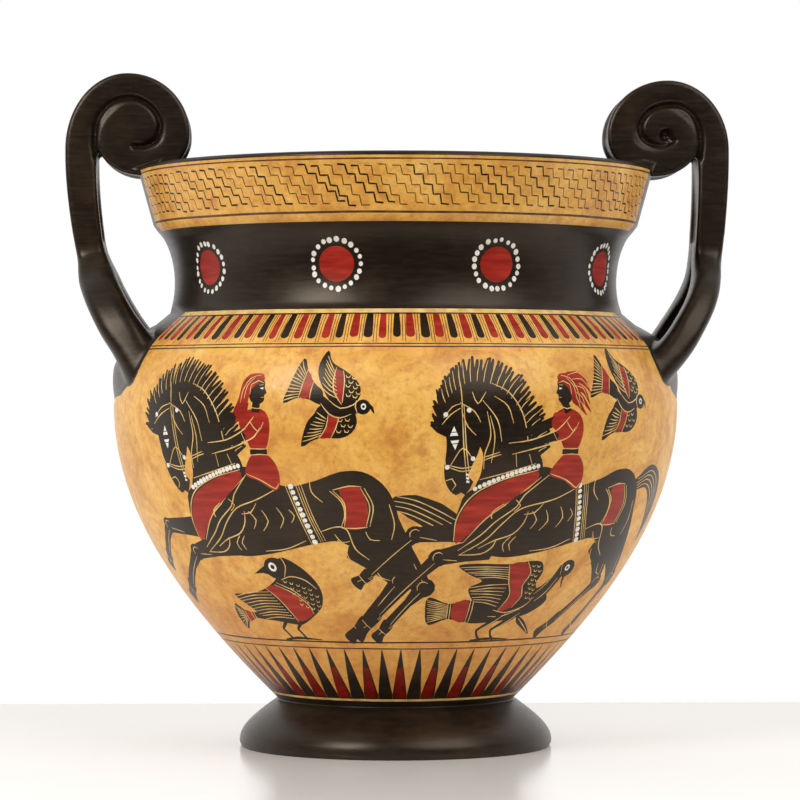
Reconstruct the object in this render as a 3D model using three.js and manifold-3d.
// A painted clay volute krater: a wheel-made mixing bowl on a moulded foot, with two
// flanged handles that rise from a forked loop on the shoulder and coil on the rim.
// It is fired as one piece. Millimetres, +Z up, origin under the middle of the foot.
import * as THREE from 'three';
import { mergeVertices } from 'three/addons/utils/BufferGeometryUtils.js';
import Module from 'manifold-3d';

const wasm = await Module();
wasm.setup();

// Vessel, as radii and heights of its turned profile
const FOOT_RADIUS = 77.8;
const FOOT_HEIGHT = 23.4;
const FOOT_EDGE = 3.5;
const STEM_RADIUS = 58.4;
const BELLY_RADIUS = 140.4;
const BELLY_HEIGHT = 170;
const SHOULDER_RADIUS = 113.9;
const SHOULDER_HEIGHT = 214;
const NECK_RADIUS = 115.8;
const NECK_HEIGHT = 252.7;
const RIM_FOOT_RADIUS = 120.5;
const RIM_FOOT_HEIGHT = 258;
const RIM_RADIUS = 128.2;
const RIM_HEIGHT = 287.4;
const LIP_ROUND = 1.4;
const WALL = 6.6;
const FLOOR_HEIGHT = 31;
const RECESS_RADIUS = 63;
const RECESS_DEPTH = 20;
const TURNED_SIDES = 48;

// Handles: set by hand, so the two differ a little. foot is the radius of the strap's lower end
// and of its fork, coil the radius of the coil's middle, with its half width and its rise above it.
const HANDLES = {
  left: { foot: 149.9, coil: 132.7, coilHalf: 23.4, coilRise: 23.2, turn: 180 },
  right: { foot: 154.5, coil: 134.8, coilHalf: 22.9, coilRise: 20.3, turn: 0 },
};

// Strap: the flanged upper part of a handle
const STRAP_WIDTH = 34;
const STRAP_FOOT_THICKNESS = 13.4;
const STRAP_TOP_THICKNESS = 15.4;
const STRAP_FOOT_HEIGHT = 236;
const FLANGE_WIDTH = 7;
const FLANGE_HEIGHT = 1.4;
const EDGE_CHAMFER = 1.8;

// Volute: the coil at the strap's top, which rests on the rim. Its outer quarter starts lower
// than its inner one by the sag, so that the strap leans into the turn.
const VOLUTE_HEIGHT = 303.4;
const VOLUTE_SAG = 7;
const COIL_THICKNESS = 14.4;
const LOWER_TURN_HALF = 16.4;
const LOWER_TURN_DROP = 13.2;
const CORE_RADIUS = 16.2;

// Fork: the two arms that carry the strap on the shoulder
const ARM_SPREAD = 38;
const ARM_ROOT_RADIUS = 120;
const ARM_THICKNESS = 14.5;
const ARM_WIDTH = 19;
const ARM_SIDES = 10;

const CLAY = 0xd69a4c;
const vector = (x, y) => new THREE.Vector2(x, y);

// Makes a closed solid of a closed mesh: shared vertices merged, slivers at the poles dropped
function solidOf(geometry) {
  const bare = geometry.clone();
  bare.deleteAttribute('normal');
  bare.deleteAttribute('uv');
  const merged = mergeVertices(bare, 1e-4);
  const index = merged.index.array;
  const triangles = [];
  for (let i = 0; i < index.length; i += 3) {
    const [a, b, c] = [index[i], index[i + 1], index[i + 2]];
    if (a !== b && b !== c && c !== a) triangles.push(a, b, c);
  }
  return new wasm.Manifold(new wasm.Mesh({
    numProp: 3,
    vertProperties: new Float32Array(merged.attributes.position.array),
    triVerts: new Uint32Array(triangles),
  }));
}

function meshOf(solid, name, material) {
  const { vertProperties, triVerts } = solid.getMesh();
  const geometry = new THREE.BufferGeometry();
  geometry.setAttribute('position', new THREE.BufferAttribute(vertProperties, 3));
  geometry.setIndex(new THREE.BufferAttribute(triVerts, 1));
  geometry.computeVertexNormals();
  const mesh = new THREE.Mesh(geometry, material);
  mesh.name = name;
  return mesh;
}

// Turns a profile of radii and heights about the vertical axis
function turned(profile) {
  const geometry = new THREE.LatheGeometry(profile, TURNED_SIDES);
  geometry.rotateX(Math.PI / 2);
  return solidOf(geometry);
}

// The bowl's outer curve in two arcs, from the stem to the belly and on to the shoulder's top
const bowlCurve = new THREE.CubicBezierCurve(
  vector(STEM_RADIUS, FOOT_HEIGHT), vector(STEM_RADIUS + 42, FOOT_HEIGHT + 42),
  vector(BELLY_RADIUS, BELLY_HEIGHT - 57), vector(BELLY_RADIUS, BELLY_HEIGHT));
const shoulderCurve = new THREE.CubicBezierCurve(
  vector(BELLY_RADIUS, BELLY_HEIGHT), vector(BELLY_RADIUS, BELLY_HEIGHT + 24),
  vector(SHOULDER_RADIUS + 9, SHOULDER_HEIGHT - 7.5), vector(SHOULDER_RADIUS, SHOULDER_HEIGHT));
const neckCurve = new THREE.CubicBezierCurve(
  vector(SHOULDER_RADIUS - 0.7, SHOULDER_HEIGHT + 0.5), vector(SHOULDER_RADIUS - 4.7, SHOULDER_HEIGHT + 8),
  vector(NECK_RADIUS - 7.6, NECK_HEIGHT - 12.7), vector(NECK_RADIUS, NECK_HEIGHT));
const footCurve = new THREE.CubicBezierCurve(
  vector(FOOT_RADIUS, FOOT_EDGE), vector(FOOT_RADIUS, FOOT_EDGE + 6),
  vector(FOOT_RADIUS - 7, FOOT_HEIGHT - 8), vector(STEM_RADIUS + 1, FOOT_HEIGHT));

// The same curve moved into the wall by a depth, read from one share of its length to another
function insideOf(curve, depth, steps, from, to) {
  const points = [];
  for (let i = 0; i <= steps; i++) {
    const share = from + (to - from) * i / steps;
    const tangent = curve.getTangent(share);
    const point = curve.getPoint(share);
    points.push(vector(point.x - depth * tangent.y, point.y + depth * tangent.x));
  }
  return points;
}

// The profile inside the vessel, from the axis to the lip, at a depth below the outer face
function innerProfile(depth) {
  return [
    vector(0, FLOOR_HEIGHT),
    vector(STEM_RADIUS * 0.6, FLOOR_HEIGHT + 1),
    ...insideOf(bowlCurve, depth, 7, 0.1, 1),
    ...insideOf(shoulderCurve, depth, 3, 0.2, 0.95),
    ...insideOf(neckCurve, depth, 3, 0.1, 0.9),
    vector(RIM_FOOT_RADIUS - depth, RIM_FOOT_HEIGHT + 1),
    vector(RIM_RADIUS - depth - 0.3, RIM_HEIGHT - LIP_ROUND),
  ];
}

function vessel() {
  const underside = [
    vector(0, RECESS_DEPTH),
    vector(RECESS_RADIUS * 0.68, RECESS_DEPTH),
    vector(RECESS_RADIUS * 0.8, RECESS_DEPTH - 3),
    vector(RECESS_RADIUS, 0),
  ];
  const outside = [
    vector(FOOT_RADIUS - 0.9, 0),
    vector(FOOT_RADIUS, 1.5),
    ...footCurve.getPoints(5),
    ...bowlCurve.getPoints(11),
    ...shoulderCurve.getPoints(5).slice(1),
    ...neckCurve.getPoints(6),
    vector(RIM_FOOT_RADIUS, RIM_FOOT_HEIGHT),
    vector(RIM_RADIUS, RIM_HEIGHT - LIP_ROUND),
    vector(RIM_RADIUS - LIP_ROUND, RIM_HEIGHT),
    vector(RIM_RADIUS - WALL + LIP_ROUND, RIM_HEIGHT),
  ];
  return turned([...underside, ...outside, ...innerProfile(WALL).reverse()]);
}

// What fills the bowl up to the middle of its wall, to end the arms of the handles there
function filling() {
  return turned([...innerProfile(WALL / 2), vector(0, RIM_HEIGHT - LIP_ROUND)]);
}

// A closed limb through stations of a centre and a cross-section. Each section is a loop of
// [across, along-Y] sizes that turns with the route and keeps its width near the Y direction.
function limb(stations) {
  const positions = [];
  const index = [];
  const sides = stations[0].section.length;
  stations.forEach(({ centre, section }, i) => {
    const before = stations[Math.max(i - 1, 0)].centre;
    const after = stations[Math.min(i + 1, stations.length - 1)].centre;
    const forward = after.clone().sub(before).normalize();
    const across = new THREE.Vector3(0, 1, 0).cross(forward).normalize();
    const sideways = forward.clone().cross(across);
    for (const [u, v] of section) {
      const point = centre.clone().addScaledVector(across, u).addScaledVector(sideways, v);
      positions.push(point.x, point.y, point.z);
    }
  });
  for (let i = 0; i + 1 < stations.length; i++) {
    for (let k = 0; k < sides; k++) {
      const a = i * sides + k;
      const b = i * sides + (k + 1) % sides;
      index.push(a, b + sides, b, a, a + sides, b + sides);
    }
  }
  const caps = [[0, stations[0].centre, 1], [(stations.length - 1) * sides, stations.at(-1).centre, -1]];
  for (const [first, centre, turn] of caps) {
    const middle = positions.length / 3;
    positions.push(centre.x, centre.y, centre.z);
    for (let k = 0; k < sides; k++) {
      const a = first + k;
      const b = first + (k + 1) % sides;
      index.push(middle, turn > 0 ? a : b, turn > 0 ? b : a);
    }
  }
  const geometry = new THREE.BufferGeometry();
  geometry.setAttribute('position', new THREE.Float32BufferAttribute(positions, 3));
  geometry.setIndex(index);
  return solidOf(geometry);
}

// Strap cross-section: chamfered edges, and a shallow channel between two flanges on its outer
// face and, where it stands clear of the coil, on its inner face
function strapSection(thickness, innerChannel) {
  const across = thickness / 2;
  const wide = STRAP_WIDTH / 2;
  const half = (channel) => {
    const quarter = [
      [across - EDGE_CHAMFER, wide],
      [across, wide - EDGE_CHAMFER],
      [across, wide - FLANGE_WIDTH],
      [across - channel, wide - FLANGE_WIDTH - FLANGE_HEIGHT],
    ];
    return [...quarter, ...quarter.map(([u, v]) => [u, -v]).reverse()];
  };
  return [...half(FLANGE_HEIGHT), ...half(innerChannel).map(([u, v]) => [-u, -v])];
}

function ovalSection(thickness, width) {
  const section = [];
  for (let k = 0; k < ARM_SIDES; k++) {
    const turn = -2 * Math.PI * (k + 0.5) / ARM_SIDES;
    section.push([Math.cos(turn) * thickness / 2, Math.sin(turn) * width / 2]);
  }
  return section;
}

const inPlane = (x, z) => new THREE.Vector3(x, 0, z);

// The strap's middle line, from the fork up its gentle outward bow to the side of the coil
function strapRise({ foot, coil, coilHalf }) {
  const top = coil + coilHalf;
  return new THREE.CubicBezierCurve3(
    inPlane(foot, STRAP_FOOT_HEIGHT), inPlane(foot + 0.45 * (top - foot), STRAP_FOOT_HEIGHT + 16),
    inPlane(top + 0.6, VOLUTE_HEIGHT - 28), inPlane(top, VOLUTE_HEIGHT - VOLUTE_SAG));
}

// The strap from the fork to the coil and over the coil's top
function strap(form) {
  const stations = [];
  const rise = strapRise(form);
  const riseSteps = 6;
  for (let i = 0; i <= riseSteps; i++) {
    const share = i / riseSteps;
    const channel = FLANGE_HEIGHT * Math.min(1, 2 - 2 * share);
    const thickness = THREE.MathUtils.lerp(STRAP_FOOT_THICKNESS, STRAP_TOP_THICKNESS, share);
    stations.push({ centre: rise.getPoint(share), section: strapSection(thickness, channel) });
  }
  const turnSteps = 14;
  for (let i = 1; i <= turnSteps; i++) {
    const turn = Math.PI * i / turnSteps;
    const x = form.coil + form.coilHalf * Math.cos(turn);
    const sag = turn < Math.PI / 2 ? VOLUTE_SAG : 0;
    const z = VOLUTE_HEIGHT - sag + (form.coilRise + sag) * Math.sin(turn);
    const thickness = THREE.MathUtils.lerp(STRAP_TOP_THICKNESS, COIL_THICKNESS, Math.min(1, 2 * i / turnSteps));
    stations.push({ centre: inPlane(x, z), section: strapSection(thickness, 0) });
  }
  return limb(stations);
}

// The lower half turn, which rests on the rim and runs back out to the strap
function lowerTurn({ coil, coilHalf }) {
  const stations = [];
  const middle = coil - coilHalf + LOWER_TURN_HALF;
  const steps = 12;
  for (let i = 0; i <= steps; i++) {
    const turn = Math.PI * (1 + i / steps);
    const x = middle + LOWER_TURN_HALF * Math.cos(turn);
    const z = VOLUTE_HEIGHT + LOWER_TURN_DROP * Math.sin(turn);
    stations.push({ centre: inPlane(x, z), section: strapSection(COIL_THICKNESS, 0) });
  }
  return limb(stations);
}

// The rolled core of the coil, which fills it and leaves the spiral groove around itself
function core({ coil, coilHalf, coilRise }) {
  const bevel = EDGE_CHAMFER;
  const innerEdge = coil - coilHalf + COIL_THICKNESS / 2;
  const upperHeight = coilRise - COIL_THICKNESS / 2 + 0.2;
  const lowerHalf = LOWER_TURN_HALF - COIL_THICKNESS / 2;
  const lowerDrop = LOWER_TURN_DROP - COIL_THICKNESS / 2;
  const shape = new THREE.Shape();
  shape.absellipse(innerEdge + CORE_RADIUS, VOLUTE_HEIGHT - VOLUTE_SAG, CORE_RADIUS - bevel,
    upperHeight + VOLUTE_SAG - bevel, 0, Math.PI / 2, false, 0);
  shape.absellipse(innerEdge + CORE_RADIUS, VOLUTE_HEIGHT, CORE_RADIUS - bevel, upperHeight - bevel,
    Math.PI / 2, Math.PI, false, 0);
  shape.absellipse(innerEdge + lowerHalf, VOLUTE_HEIGHT, lowerHalf - bevel, lowerDrop - bevel,
    Math.PI, 2 * Math.PI, false, 0);
  shape.closePath();
  const geometry = new THREE.ExtrudeGeometry(shape, {
    depth: STRAP_WIDTH - 2 * bevel,
    bevelThickness: bevel,
    bevelSize: bevel,
    bevelSegments: 1,
    curveSegments: 6,
  });
  geometry.translate(0, 0, bevel - STRAP_WIDTH / 2);
  geometry.rotateX(Math.PI / 2);
  return solidOf(geometry);
}

// One arm of the fork, from inside the strap down to its spread root on the shoulder
function arm({ foot }, side) {
  const spread = side * ARM_SPREAD;
  const base = STRAP_FOOT_HEIGHT;
  const route = new THREE.CatmullRomCurve3([
    new THREE.Vector3(foot + 3, spread * 0.12, base + 13),
    new THREE.Vector3(foot + 1.5, spread * 0.34, base + 5),
    new THREE.Vector3(foot - 0.5, spread * 0.58, base - 5),
    new THREE.Vector3(foot - 4.5, spread * 0.78, base - 15),
    new THREE.Vector3(foot - 11, spread * 0.9, base - 27),
    new THREE.Vector3(foot - 19, spread * 0.97, base - 39),
    new THREE.Vector3(ARM_ROOT_RADIUS, spread, base - 56),
  ]);
  const steps = 10;
  const stations = [];
  for (let i = 0; i <= steps; i++) {
    const share = i / steps;
    const swell = Math.pow(share, 2.5);
    stations.push({
      centre: route.getPoint(share),
      section: ovalSection(ARM_THICKNESS * (1 + 0.3 * swell), ARM_WIDTH * (1 + swell)),
    });
  }
  return limb(stations);
}

function handle(form) {
  const fork = arm(form, 1).add(arm(form, -1)).subtract(filling());
  const solid = strap(form).add(lowerTurn(form)).add(core(form)).add(fork);
  return solid.rotate([0, 0, form.turn]);
}

function krater() {
  const solid = vessel().add(handle(HANDLES.right)).add(handle(HANDLES.left));
  const glazedClay = new THREE.MeshStandardMaterial({ color: CLAY, roughness: 0.45, metalness: 0 });
  return meshOf(solid, 'krater', glazedClay);
}

const part = new THREE.Group();
part.add(krater());

export default part;
